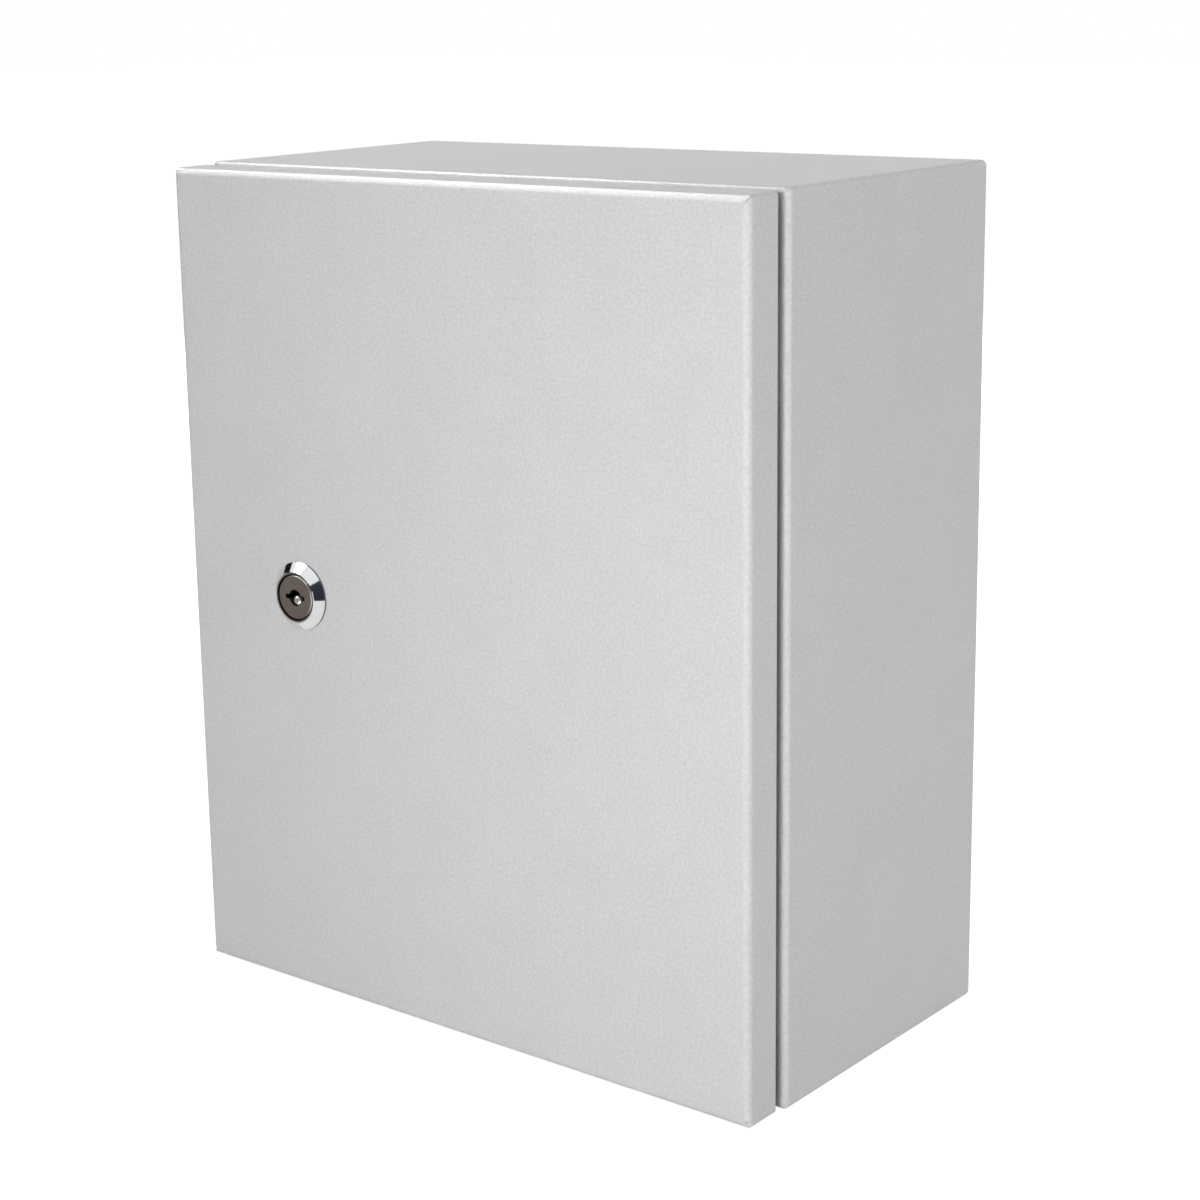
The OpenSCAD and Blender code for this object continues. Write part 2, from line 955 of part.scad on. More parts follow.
body_shell();
plate_studs();
plate_spacers();
mounting_plate();
plate_washers();
plate_nuts();
gland_gasket();
gland_plate();
gland_studs();
gland_nuts();
body_earth_stud();
body_earth_washers();
body_earth_nut();
hinge_bracket_upper();
hinge_bracket_lower();
hinge_pin_upper();
hinge_pin_lower();
door_panel();
door_seal();
hinge_leaf_upper();
hinge_leaf_lower();
lock_housing();
lock_seal();
lock_washer();
lock_nut();
door_earth_stud();
door_earth_washers();
door_earth_nut();
lock_plug();
guide_pin();
stop_disc();
latch_cam();
cam_washer();
cam_screw();
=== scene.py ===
# %% [markdown]
# # A steel wall enclosure
# This notebook dresses a small painted steel box: a folded body, a hinged door with
# a key lock, and the mounting hardware inside. The construction is already there as a
# frame of exact parts. Here every part gets its finish, and what is too fine for the
# construction, such as screw threads and weld beads, is made with Geometry Nodes.

# %% Load the frame
import json
import math

import bmesh
import bpy
from mathutils import Matrix, Vector


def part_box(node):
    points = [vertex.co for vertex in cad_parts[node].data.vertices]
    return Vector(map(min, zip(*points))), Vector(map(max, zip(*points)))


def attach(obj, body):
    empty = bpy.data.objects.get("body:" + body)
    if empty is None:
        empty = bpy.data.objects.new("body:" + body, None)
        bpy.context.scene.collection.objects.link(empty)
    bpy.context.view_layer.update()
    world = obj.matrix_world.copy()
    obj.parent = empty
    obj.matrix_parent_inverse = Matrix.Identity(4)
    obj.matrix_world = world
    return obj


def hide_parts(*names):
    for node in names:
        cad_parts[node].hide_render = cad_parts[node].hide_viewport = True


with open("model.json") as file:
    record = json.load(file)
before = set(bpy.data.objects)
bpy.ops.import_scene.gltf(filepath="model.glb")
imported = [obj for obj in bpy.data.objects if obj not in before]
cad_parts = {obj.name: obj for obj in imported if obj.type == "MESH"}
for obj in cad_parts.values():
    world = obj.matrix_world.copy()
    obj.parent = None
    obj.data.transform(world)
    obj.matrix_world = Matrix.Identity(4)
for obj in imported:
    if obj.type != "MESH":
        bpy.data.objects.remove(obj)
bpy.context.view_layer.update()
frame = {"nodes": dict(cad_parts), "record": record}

MM = 0.001


def in_mm(values):
    return [round(v / MM, 1) for v in values]


# %% [markdown]
# ## Measures taken from the frame
# A piece that is made here has to sit where the construction says. Its places could be
# typed in as numbers, but those go stale when the construction changes. Boxes of the
# frame's nodes give them instead, so nothing has to be fitted later.

# %% Where things are
SHEET = 1.2 * MM
body_low, body_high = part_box("body_shell")
door_low, door_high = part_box("door_panel")
flange_low, flange_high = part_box("lock_housing")
door_face = door_low.y
pan_floor = door_face + SHEET
lock_x = (flange_low.x + flange_high.x) / 2
lock_z = (flange_low.z + flange_high.z) / 2
print("door face and lock axis (y, x, z) in mm:", in_mm([door_face, lock_x, lock_z]))

# %% [markdown]
# ## Camera
# The box is seen from its right and a little from above, standing square to the world.
# The camera is placed with two angles and a distance from a point near the box's middle,
# and rolled by a degree. A small lens shift stands in for the cropping of the view.

# %% Place the camera
AZIMUTH = math.radians(39.96)
ELEVATION = math.radians(13.11)
ROLL = math.radians(-1.22)
DISTANCE = 0.9042
AIM_OFFSET = Vector((-0.0251, 0, 0.0090))
FOCAL_LENGTH = 74.28
SHIFT_X = 0.0667
SHIFT_Y = -0.0417

box_middle = Vector((0, (door_face + body_high.y) / 2, 0))
aim = box_middle + AIM_OFFSET
back = Vector((math.sin(AZIMUTH) * math.cos(ELEVATION),
               -math.cos(AZIMUTH) * math.cos(ELEVATION),
               math.sin(ELEVATION)))
side = (-back).cross(Vector((0, 0, 1))).normalized()
above = side.cross(-back)
right = side * math.cos(ROLL) + above * math.sin(ROLL)
up = above * math.cos(ROLL) - side * math.sin(ROLL)

lens = bpy.data.cameras.new("camera")
lens.sensor_width = 36
lens.lens = FOCAL_LENGTH
lens.shift_x = SHIFT_X
lens.shift_y = SHIFT_Y
lens.clip_end = 50
camera = bpy.data.objects.new("camera", lens)
facing = Matrix((right, up, back)).transposed().to_4x4()
camera.matrix_world = Matrix.Translation(aim + back * DISTANCE) @ facing
bpy.context.scene.collection.objects.link(camera)
bpy.context.scene.camera = camera
bpy.context.scene.view_settings.view_transform = "Standard"
print("camera at", [round(v, 3) for v in camera.location])

# %% [markdown]
# ## Shader groups
# A finish is a small network of nodes. Written out one by one, the same few lines would
# come back a hundred times, so a few helpers add nodes, do sums and start a group.

# %% Helpers that add nodes to a tree
def add(tree, kind, inputs=None, **settings):
    """Adds a node, sets its settings, and links or sets its inputs by name or number."""
    node = tree.nodes.new(kind)
    for name, value in settings.items():
        setattr(node, name, value)
    for name, value in (inputs or {}).items():
        if isinstance(value, bpy.types.NodeSocket):
            tree.links.new(value, node.inputs[name])
        else:
            node.inputs[name].default_value = value
    return node


def calc(tree, operation, *values, clamp=False):
    """A Math node on one, two or three numbers or sockets."""
    node = add(tree, "ShaderNodeMath", dict(enumerate(values)),
               operation=operation, use_clamp=clamp)
    return node.outputs[0]


def centred(tree, value):
    """A noise runs from 0 to 1. This moves its middle to 0."""
    return calc(tree, "SUBTRACT", value, 0.5)


def noise(tree, vector, scale, detail=2.0, roughness=0.5):
    inputs = {"Vector": vector, "Scale": scale, "Detail": detail, "Roughness": roughness}
    return add(tree, "ShaderNodeTexNoise", inputs).outputs["Fac"]


def shader_group(name, inputs, outputs):
    """A new shader group. An input whose start value is None is a vector."""
    tree = bpy.data.node_groups.new(name, "ShaderNodeTree")
    for label, value in inputs.items():
        kind = "NodeSocketVector" if value is None else "NodeSocketFloat"
        socket = tree.interface.new_socket(label, in_out="INPUT", socket_type=kind)
        if value is not None:
            socket.default_value = value
    for label in outputs:
        tree.interface.new_socket(label, in_out="OUTPUT", socket_type="NodeSocketFloat")
    return tree, add(tree, "NodeGroupInput").outputs, add(tree, "NodeGroupOutput").inputs


print("node helpers ready")

# %% [markdown]
# Nearly every surface of such a box has a fine irregular texture: the orange peel of
# powder coat, the pores of foam, the clouds in zinc plate. Each could have its own noise
# nodes, but they are one effect at different sizes, so it is one group. It gives a height
# for the bump, and a tone that wanders a little round 1 for the colour. The tone's slow
# clouds can be joined by a fine speckle, for a coat whose peel shows as light and dark.

# %% Surface grain: a coarse and a fine noise, and slow clouds
FINE_SCALE = 2.7        # times the scale of the coarse noise
CLOUD_SCALE = 0.035
FINE_SPECKLE = 0.6


def make_grain_group():
    tree, given, out = shader_group(
        "surface_grain",
        {"Vector": None, "Grain size": 0.001, "Fine share": 0.4, "Tone spread": 0.05,
         "Speckle": 0.0},
        ["Height", "Tone"])
    scale = calc(tree, "DIVIDE", 1.0, given["Grain size"])
    coarse = noise(tree, given["Vector"], scale, 1.5)
    fine = noise(tree, given["Vector"], calc(tree, "MULTIPLY", scale, FINE_SCALE))
    clouds = noise(tree, given["Vector"], calc(tree, "MULTIPLY", scale, CLOUD_SCALE), 3.0, 0.55)
    height = calc(tree, "MULTIPLY_ADD", fine, given["Fine share"], coarse)
    dots = calc(tree, "MULTIPLY", centred(tree, fine), FINE_SPECKLE)
    spots = calc(tree, "MULTIPLY_ADD", centred(tree, coarse), given["Speckle"], dots)
    wander = calc(tree, "ADD", centred(tree, clouds), spots)
    tree.links.new(height, out["Height"])
    tree.links.new(calc(tree, "MULTIPLY_ADD", wander, given["Tone spread"], 1.0), out["Tone"])
    return tree


grain_group = make_grain_group()
print("group", grain_group.name, "with", len(grain_group.nodes), "nodes")

# %% [markdown]
# Rolled, ground and turned metal shows hair-fine lines. They could be drawn as waves, but
# those look combed. A noise that is stretched along one direction stays irregular: where
# the place is squeezed before the noise reads it, the noise runs long.

# %% Hairlines: a stretched noise
def make_hairline_group():
    tree, given, out = shader_group(
        "hairlines", {"Vector": None, "Scale": 900.0, "Along X": 1.0, "Along Z": 0.05},
        ["Height"])
    squeeze = add(tree, "ShaderNodeCombineXYZ",
                  {"X": given["Along X"], "Y": 1.0, "Z": given["Along Z"]}).outputs[0]
    stretched = add(tree, "ShaderNodeVectorMath", {0: given["Vector"], 1: squeeze},
                    operation="MULTIPLY").outputs[0]
    tree.links.new(noise(tree, stretched, given["Scale"], 3.0, 0.6), out["Height"])
    return tree


hairline_group = make_hairline_group()
print("group", hairline_group.name, "with", len(hairline_group.nodes), "nodes")

# %% [markdown]
# The lock is turned work, so its surfaces are told apart by their distance from its axis.
# This group gives that distance, and how far round the axis a point lies, which winds the
# barrel's thread. The chrome of the housing and the nickel of the plug both read it.

# %% Distance from the lock's axis
def make_lock_radius_group():
    tree, given, out = shader_group("lock_radius", {"Vector": None}, ["Radius", "Turn"])
    parts = add(tree, "ShaderNodeSeparateXYZ", {0: given["Vector"]}).outputs
    x = calc(tree, "SUBTRACT", parts["X"], lock_x)
    z = calc(tree, "SUBTRACT", parts["Z"], lock_z)
    square = calc(tree, "MULTIPLY_ADD", x, x, calc(tree, "MULTIPLY", z, z))
    turn = calc(tree, "DIVIDE", calc(tree, "ARCTAN2", z, x), 2 * math.pi)
    tree.links.new(calc(tree, "SQRT", square), out["Radius"])
    tree.links.new(turn, out["Turn"])
    return tree


lock_radius_group = make_lock_radius_group()
print("group", lock_radius_group.name, "with", len(lock_radius_group.nodes), "nodes")

# %% [markdown]
# ## Materials
# Each finish is a short function. It starts from a Principled shader with its constants
# set on the shader itself, then wires the groups into colour, roughness and bump.

# %% The parts that every finish is made of
def start_material(name, roughness, metallic=0.0, specular=0.5):
    material = bpy.data.materials.new(name)
    material.use_nodes = True
    tree = material.node_tree
    shader = tree.nodes["Principled BSDF"]
    shader.inputs["Roughness"].default_value = roughness
    shader.inputs["Metallic"].default_value = metallic
    shader.inputs["Specular IOR Level"].default_value = specular
    place = tree.nodes.new("ShaderNodeTexCoord").outputs["Object"]
    return material, tree, shader, place


def use_group(tree, group, place, values):
    return add(tree, "ShaderNodeGroup", {"Vector": place} | values, node_tree=group).outputs


def use_grain(tree, place, size, fine, spread, speckle=0.0):
    out = use_group(tree, grain_group, place, {
        "Grain size": size, "Fine share": fine, "Tone spread": spread, "Speckle": speckle})
    return out["Height"], out["Tone"]


def tinted(tree, colour, tone):
    """The colour, made lighter and darker by a tone round 1."""
    return add(tree, "ShaderNodeVectorMath", {0: colour, "Scale": tone},
               operation="SCALE").outputs[0]


def set_bump(tree, shader, height, distance, edge_radius=0.0):
    """Bump from a height. An edge radius rounds sharp edges, so that they catch light."""
    bump = add(tree, "ShaderNodeBump", {"Height": height, "Distance": distance})
    if edge_radius:
        soft_edge = add(tree, "ShaderNodeBevel", {"Radius": edge_radius}, samples=6)
        tree.links.new(soft_edge.outputs["Normal"], bump.inputs["Normal"])
    tree.links.new(bump.outputs["Normal"], shader.inputs["Normal"])


print("material helpers ready")

# %% [markdown]
# The box is powder coated: dry paint is dusted on and baked, and flows into a film with a
# fine orange peel. Modelling the peel would take millions of faces, so it is a shallow
# bump. From a step away the eye sees it as light and dark specks, so the colour speckles
# too. The coat rounds every edge that it covers, hence the large edge radius.

# %% Light grey powder coat
LIGHT_GREY = (0.585, 0.585, 0.585)


def make_powder_coat():
    material, tree, shader, place = start_material("powder_coat", roughness=0.33)
    height, tone = use_grain(tree, place, 1.0 * MM, fine=0.7, spread=0.07, speckle=5.5)
    tree.links.new(tinted(tree, LIGHT_GREY, tone), shader.inputs["Base Color"])
    set_bump(tree, shader, height, 0.11 * MM, edge_radius=0.35 * MM)
    return material


powder_coat = make_powder_coat()
print("made", powder_coat.name)

# %% [markdown]
# The lock's housing is chromed. Its flange is polished to a mirror, and the flat ring round
# the plug is duller. The flange's thin rim is duller too, and painted dark as the shade of
# its outline. The wall of the recess is painted near black as the shade deep in the gap,
# and the barrel behind the door carries a thread. Separate materials would need the one
# mesh cut up, so one finish does it all: masks from the distance to the axis and the depth
# behind the door's face tell it where it is.

# %% Masks and colours for turned work
# Near black, painted as the shade deep in the lock's narrow gaps.
PAINTED_GAP_SHADE = (0.015, 0.014, 0.013)


def depth_behind_face(tree, place):
    """How far a point lies behind the door's face. In front of it the number is negative."""
    y = add(tree, "ShaderNodeSeparateXYZ", {0: place}).outputs["Y"]
    return calc(tree, "SUBTRACT", y, door_face)


def band(tree, radius, inner, outer):
    """1 where the distance from the axis is between two limits, else 0."""
    return calc(tree, "COMPARE", radius, (inner + outer) / 2, (outer - inner) / 2)


def both(tree, first, second):
    return calc(tree, "MULTIPLY", first, second)


def layered(tree, colour, *layers):
    """Lays further colours over the first, each where its mask is 1."""
    for mask, tint in layers:
        colour = add(tree, "ShaderNodeMix", {"Factor": mask, 6: colour, 7: (*tint, 1)},
                     data_type="RGBA").outputs[2]
    return colour


print("mask helpers ready")

# %% Polished chrome, with the thread on the barrel
RECESS_INNER, RECESS_OUTER, RING_OUTER = 4.0 * MM, 8.50 * MM, 9.10 * MM
RING_PROUD = 3.1 * MM
RIM_FROM = 12.28 * MM
THREAD_FROM = 9.95 * MM
THREAD_PITCH = 1.0 * MM
THREAD_BUMP = 0.9 * MM
MIRROR_ROUGHNESS = 0.03
GRAIN_HAZE = 0.06
DULLER_BY = 0.25


def make_chrome():
    material, tree, shader, place = start_material("polished_chrome", 0.06, metallic=1.0)
    height, tone = use_grain(tree, place, 0.9 * MM, fine=0.5, spread=0.10)
    lock = use_group(tree, lock_radius_group, place, {})
    radius, depth = lock["Radius"], depth_behind_face(tree, place)
    on_ring = both(tree, band(tree, radius, RECESS_OUTER, RING_OUTER),
                   calc(tree, "LESS_THAN", depth, -RING_PROUD))
    # Painted shade: the wall of the recess is near black, as the shade deep in the gap.
    recess_shade = both(tree, band(tree, radius, RECESS_INNER, RECESS_OUTER),
                     calc(tree, "LESS_THAN", depth, 0.0))
    # Painted shade: the thin outer rim is dark grey, drawing the flange's shaded outline. It is
    # duller too.
    shaded_rim = calc(tree, "GREATER_THAN", radius, RIM_FROM)
    colour = layered(tree, tinted(tree, (0.76, 0.77, 0.78), tone),
                     (on_ring, (0.30, 0.27, 0.25)), (recess_shade, PAINTED_GAP_SHADE),
                     (shaded_rim, (0.20, 0.20, 0.20)))
    tree.links.new(colour, shader.inputs["Base Color"])
    dull = calc(tree, "MAXIMUM", on_ring, calc(tree, "MAXIMUM", recess_shade, shaded_rim))
    polish = calc(tree, "MULTIPLY_ADD", height, GRAIN_HAZE, MIRROR_ROUGHNESS)
    haze = calc(tree, "MULTIPLY_ADD", dull, DULLER_BY, polish)
    tree.links.new(haze, shader.inputs["Roughness"])
    on_thread = both(tree, calc(tree, "GREATER_THAN", radius, THREAD_FROM),
                     calc(tree, "GREATER_THAN", depth, SHEET))
    wind = calc(tree, "ADD", calc(tree, "DIVIDE", depth, THREAD_PITCH), lock["Turn"])
    ridge = both(tree, calc(tree, "PINGPONG", wind, 0.5), on_thread)
    set_bump(tree, shader, calc(tree, "MULTIPLY_ADD", height, 0.004, ridge), THREAD_BUMP)
    return material


chrome = make_chrome()
print("made", chrome.name)

# %% [markdown]
# The plug's face is dull and brownish, but its chamfer has been polished bright by the
# same tool that turned it. The round keyhole's wall is worn bright by the key, while the
# rest of the keyhole, the slot beside it and the plug's own wall in the gap are painted
# near black as the shade inside them. The masks are made as on the housing, with the
# plug's own radii.

# %% Dull nickel with a bright chamfer and keyhole
CHAMFER_FROM = 7.72 * MM
CHAMFER_SLOPE = 8000.0      # the mask rises from 0 to 1 in an eighth of a millimetre
PLUG_WALL_FROM = 7.98 * MM
PLUG_WALL_PROUD = 2.6 * MM
PLUG_FACE_PROUD = 2.95 * MM
KEYHOLE_WITHIN = 5 * MM
KEYHOLE_WALL = (2.75 * MM, 3.22 * MM)
FACE_ROUGHNESS = 0.52
POLISHED_BY = 0.32


def make_plug_nickel():
    material, tree, shader, place = start_material("dull_nickel", 0.5, metallic=1.0)
    radius = use_group(tree, lock_radius_group, place, {})["Radius"]
    depth = depth_behind_face(tree, place)
    past_chamfer = calc(tree, "SUBTRACT", radius, CHAMFER_FROM)
    edge = calc(tree, "MULTIPLY", past_chamfer, CHAMFER_SLOPE, clamp=True)
    # Painted shade: the plug's own wall in the gap is near black.
    gap_shade = both(tree, calc(tree, "GREATER_THAN", radius, PLUG_WALL_FROM),
                  calc(tree, "GREATER_THAN", depth, -PLUG_WALL_PROUD))
    # Painted shade: the keyhole and the slot are near black inside, all but the worn wall.
    keyhole_shade = both(tree, calc(tree, "GREATER_THAN", depth, -PLUG_FACE_PROUD),
                      calc(tree, "LESS_THAN", radius, KEYHOLE_WITHIN))
    on_wall = both(tree, keyhole_shade, band(tree, radius, *KEYHOLE_WALL))
    height, tone = use_grain(tree, place, 0.35 * MM, fine=0.6, spread=0.30)
    colour = layered(tree, tinted(tree, (0.165, 0.138, 0.118), tone),
                     (edge, (0.80, 0.79, 0.77)), (gap_shade, PAINTED_GAP_SHADE),
                     (keyhole_shade, (0.02, 0.018, 0.016)), (on_wall, (0.75, 0.74, 0.72)))
    tree.links.new(colour, shader.inputs["Base Color"])
    bright = calc(tree, "MAXIMUM", edge, on_wall)
    dullness = calc(tree, "MULTIPLY_ADD", bright, -POLISHED_BY, FACE_ROUGHNESS)
    tree.links.new(dullness, shader.inputs["Roughness"])
    set_bump(tree, shader, height, 0.006 * MM)
    return material


plug_nickel = make_plug_nickel()
print("made", plug_nickel.name)

# %% [markdown]
# The hinge leaves, the cam and the earthing nuts are zinc plated, the hinge pins and the
# other nuts are plain steel, and weld studs come with a flash of copper that helps them
# weld. They differ in colour, dullness and clouds only, so one function makes them all:
# hairlines of the metal below, and clouds from the plating bath.

# %% Zinc plate, plain steel and copper-flashed studs
def make_plated(name, colour, roughness, cloud_size, spread):
    material, tree, shader, place = start_material(name, roughness, metallic=1.0)
    height, tone = use_grain(tree, place, cloud_size, fine=0.3, spread=spread)
    hair = use_group(tree, hairline_group, place,
                     {"Scale": 1500.0, "Along X": 1.0, "Along Z": 0.06})
    tree.links.new(tinted(tree, colour, tone), shader.inputs["Base Color"])
    dullness = calc(tree, "MULTIPLY_ADD", height, 0.16, roughness - 0.10)
    tree.links.new(dullness, shader.inputs["Roughness"])
    set_bump(tree, shader, hair["Height"], 0.008 * MM, edge_radius=0.15 * MM)
    return material


PLATED = {      # colour, roughness, size of the clouds, spread of the tone
    "zinc_plate": ((0.62, 0.64, 0.67), 0.34, 1.2 * MM, 0.22),
    "plain_steel": ((0.50, 0.50, 0.51), 0.30, 0.8 * MM, 0.18),
    "copper_coated_stud": ((0.66, 0.42, 0.29), 0.38, 0.8 * MM, 0.25),
    "worn_guide_pin": ((0.56, 0.55, 0.53), 0.40, 0.3 * MM, 0.6),
}
zinc, steel, copper, worn_steel = [make_plated(name, *look) for name, look in PLATED.items()]
print("made", zinc.name, steel.name, copper.name, worn_steel.name)

# %% [markdown]
# The mounting plate is cut from hot-dip galvanised sheet. Its zinc freezes in crystals,
# the spangle. Voronoi cells are crystals that grew until they met, so each cell gets its
# own tone and its own roughness, and a little noise bends the cells' borders.

# %% Galvanised sheet with spangle
CRYSTALS_PER_METRE = 85.0
BORDER_BEND = 6 * MM


def make_galvanised():
    material, tree, shader, place = start_material("galvanised_sheet", 0.38, metallic=1.0)
    wobble = add(tree, "ShaderNodeTexNoise", {"Vector": place, "Scale": 120.0}).outputs["Color"]
    bent = add(tree, "ShaderNodeVectorMath", {0: wobble, 1: (BORDER_BEND,) * 3, 2: place},
               operation="MULTIPLY_ADD").outputs[0]
    cells = add(tree, "ShaderNodeTexVoronoi",
                {"Vector": bent, "Scale": CRYSTALS_PER_METRE}).outputs["Color"]
    chance = add(tree, "ShaderNodeSeparateColor", {0: cells}).outputs
    height, tone = use_grain(tree, place, 1.0 * MM, fine=0.4, spread=0.10)
    crystal = calc(tree, "MULTIPLY_ADD", chance["Red"], 0.30, 0.85)
    shade = calc(tree, "MULTIPLY", crystal, tone)
    tree.links.new(tinted(tree, (0.54, 0.56, 0.58), shade), shader.inputs["Base Color"])
    dullness = calc(tree, "MULTIPLY_ADD", chance["Green"], 0.22, 0.30)
    tree.links.new(dullness, shader.inputs["Roughness"])
    set_bump(tree, shader, height, 0.004 * MM, edge_radius=0.2 * MM)
    return material


galvanised = make_galvanised()
print("made", galvanised.name)

# %% [markdown]
# The ring under the lock and the gland plate's gasket are black rubber, and the door's
# seal is foam. Both are matt and dark and differ in the size and depth of their grain: the
# moulded skin of rubber is fine and shallow, the pores of foam are coarse and deep.

# %% Rubber and foam
def make_soft(name, colour, roughness, grain, depth, spread):
    material, tree, shader, place = start_material(name, roughness, specular=0.35)
    height, tone = use_grain(tree, place, grain, fine=0.8, spread=spread)
    tree.links.new(tinted(tree, colour, tone), shader.inputs["Base Color"])
    set_bump(tree, shader, height, depth)
    return material


SOFT = {        # colour, roughness, size of the grain, depth of the bump, spread of the tone
    "black_rubber": ((0.020, 0.020, 0.021), 0.6, 0.5 * MM, 0.05 * MM, 0.3),
    "foamed_seal": ((0.050, 0.051, 0.054), 0.85, 0.7 * MM, 0.35 * MM, 0.5),
}
rubber, foam = [make_soft(name, *look) for name, look in SOFT.items()]
print("made", rubber.name, foam.name)

# %% [markdown]
# ## Finishes on the frame's parts
# The construction's parts keep their meshes. Only the material in their slots changes.
# The mounting plate shares its slot with the small zinc parts, but shows spangle, and the
# guide pin in the keyhole is worn bright by the key.

# %% Give every part its finish
FINISHES = {
    "powder_coat": powder_coat,
    "zinc_plate": zinc,
    "copper_coated_stud": copper,
    "plain_steel": steel,
    "polished_chrome": chrome,
    "dull_nickel": plug_nickel,
    "black_rubber": rubber,
    "foamed_seal": foam,
}
OWN_FINISH = {"mounting_plate": galvanised, "guide_pin": worn_steel}
slot_of = {entry["node"]: entry["material_slot"] for entry in frame["record"]["subparts"]}
for node_name, part in frame["nodes"].items():
    part.data.materials.clear()
    part.data.materials.append(OWN_FINISH.get(node_name, FINISHES[slot_of[node_name]]))
print("dressed", len(frame["nodes"]), "parts")

# %% [markdown]
# ## Pieces made with Geometry Nodes
# Threads, weld beads and the foamed seal all follow a line or repeat at points. Each one is
# a small tree that grows the shape from a few points or edges, so that a new pitch or width
# is one changed number.

# %% Helpers for the trees
def piece_tree(name, inputs):
    """A new geometry tree. A whole number makes a count, a triple a vector, else a length."""
    tree = bpy.data.node_groups.new(name, "GeometryNodeTree")
    tree.interface.new_socket("Geometry", in_out="INPUT", socket_type="NodeSocketGeometry")
    kinds = {int: "NodeSocketInt", tuple: "NodeSocketVector", float: "NodeSocketFloat"}
    for label, value in inputs.items():
        socket = tree.interface.new_socket(label, in_out="INPUT", socket_type=kinds[type(value)])
        socket.default_value = value
    tree.interface.new_socket("Geometry", in_out="OUTPUT", socket_type="NodeSocketGeometry")
    return tree, add(tree, "NodeGroupInput").outputs, add(tree, "NodeGroupOutput").inputs


def step(tree, kind, inputs=None, **settings):
    """Adds a node and gives its first output, which is all that most steps need."""
    return add(tree, kind, inputs, **settings).outputs[0]


def close_tree(tree, geometry, material, out):
    solid = step(tree, "GeometryNodeRealizeInstances", {"Geometry": geometry})
    dressed = step(tree, "GeometryNodeSetMaterial", {"Geometry": solid, "Material": material})
    tree.links.new(dressed, out["Geometry"])


print("tree helpers ready")

# %% [markdown]
# A tree's result could stay live in its modifier, but joints need plain meshes. So the
# finished shape is copied into a mesh, the modifier goes, and all faces are turned
# outwards. Then the piece is hung on the body it rides on, and the plain parts it stands
# for are hidden.

# %% Grow a piece and hang it on its body
def grow(name, points, edges, tree, values, body, slot, replaced=()):
    """Grows a mesh from points and edges, hangs it on its body, hides the parts it replaces."""
    seed = bpy.data.meshes.new(name + "_seed")
    seed.from_pydata([Vector(p) for p in points], edges, [])
    piece = bpy.data.objects.new(name, seed)
    bpy.context.scene.collection.objects.link(piece)
    modifier = piece.modifiers.new("shape", "NODES")
    modifier.node_group = tree
    for item in tree.interface.items_tree:
        if item.in_out == "INPUT" and item.name in values:
            modifier[item.identifier] = values[item.name]
    shape = piece.evaluated_get(bpy.context.evaluated_depsgraph_get())
    piece.data = bpy.data.meshes.new_from_object(shape)
    piece.modifiers.remove(modifier)
    shell = bmesh.new()
    shell.from_mesh(piece.data)
    bmesh.ops.recalc_face_normals(shell, faces=shell.faces)
    shell.to_mesh(piece.data)
    shell.free()
    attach(piece, body)
    if replaced:
        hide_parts(*replaced)
    print("grew", name, "with", len(piece.data.polygons), "faces")
    return piece


print("ready to grow pieces")

# %% [markdown]
# The studs are rolled, so their thread is a real ridge that winds up the shank. It could be
# faked with bump, but then the outline would stay smooth. A diamond swept along a spiral
# gives it: the outer half of the diamond is the ridge, and the inner half disappears in the
# core. The foot keeps the small weld flange, and the tip is chamfered.

# %% Threaded weld studs
FLANGE_EDGE = 1 * MM
CREST_INSIDE = 0.03 * MM    # keeps the ridge just inside the plain stud
STUD_SIDES = 28


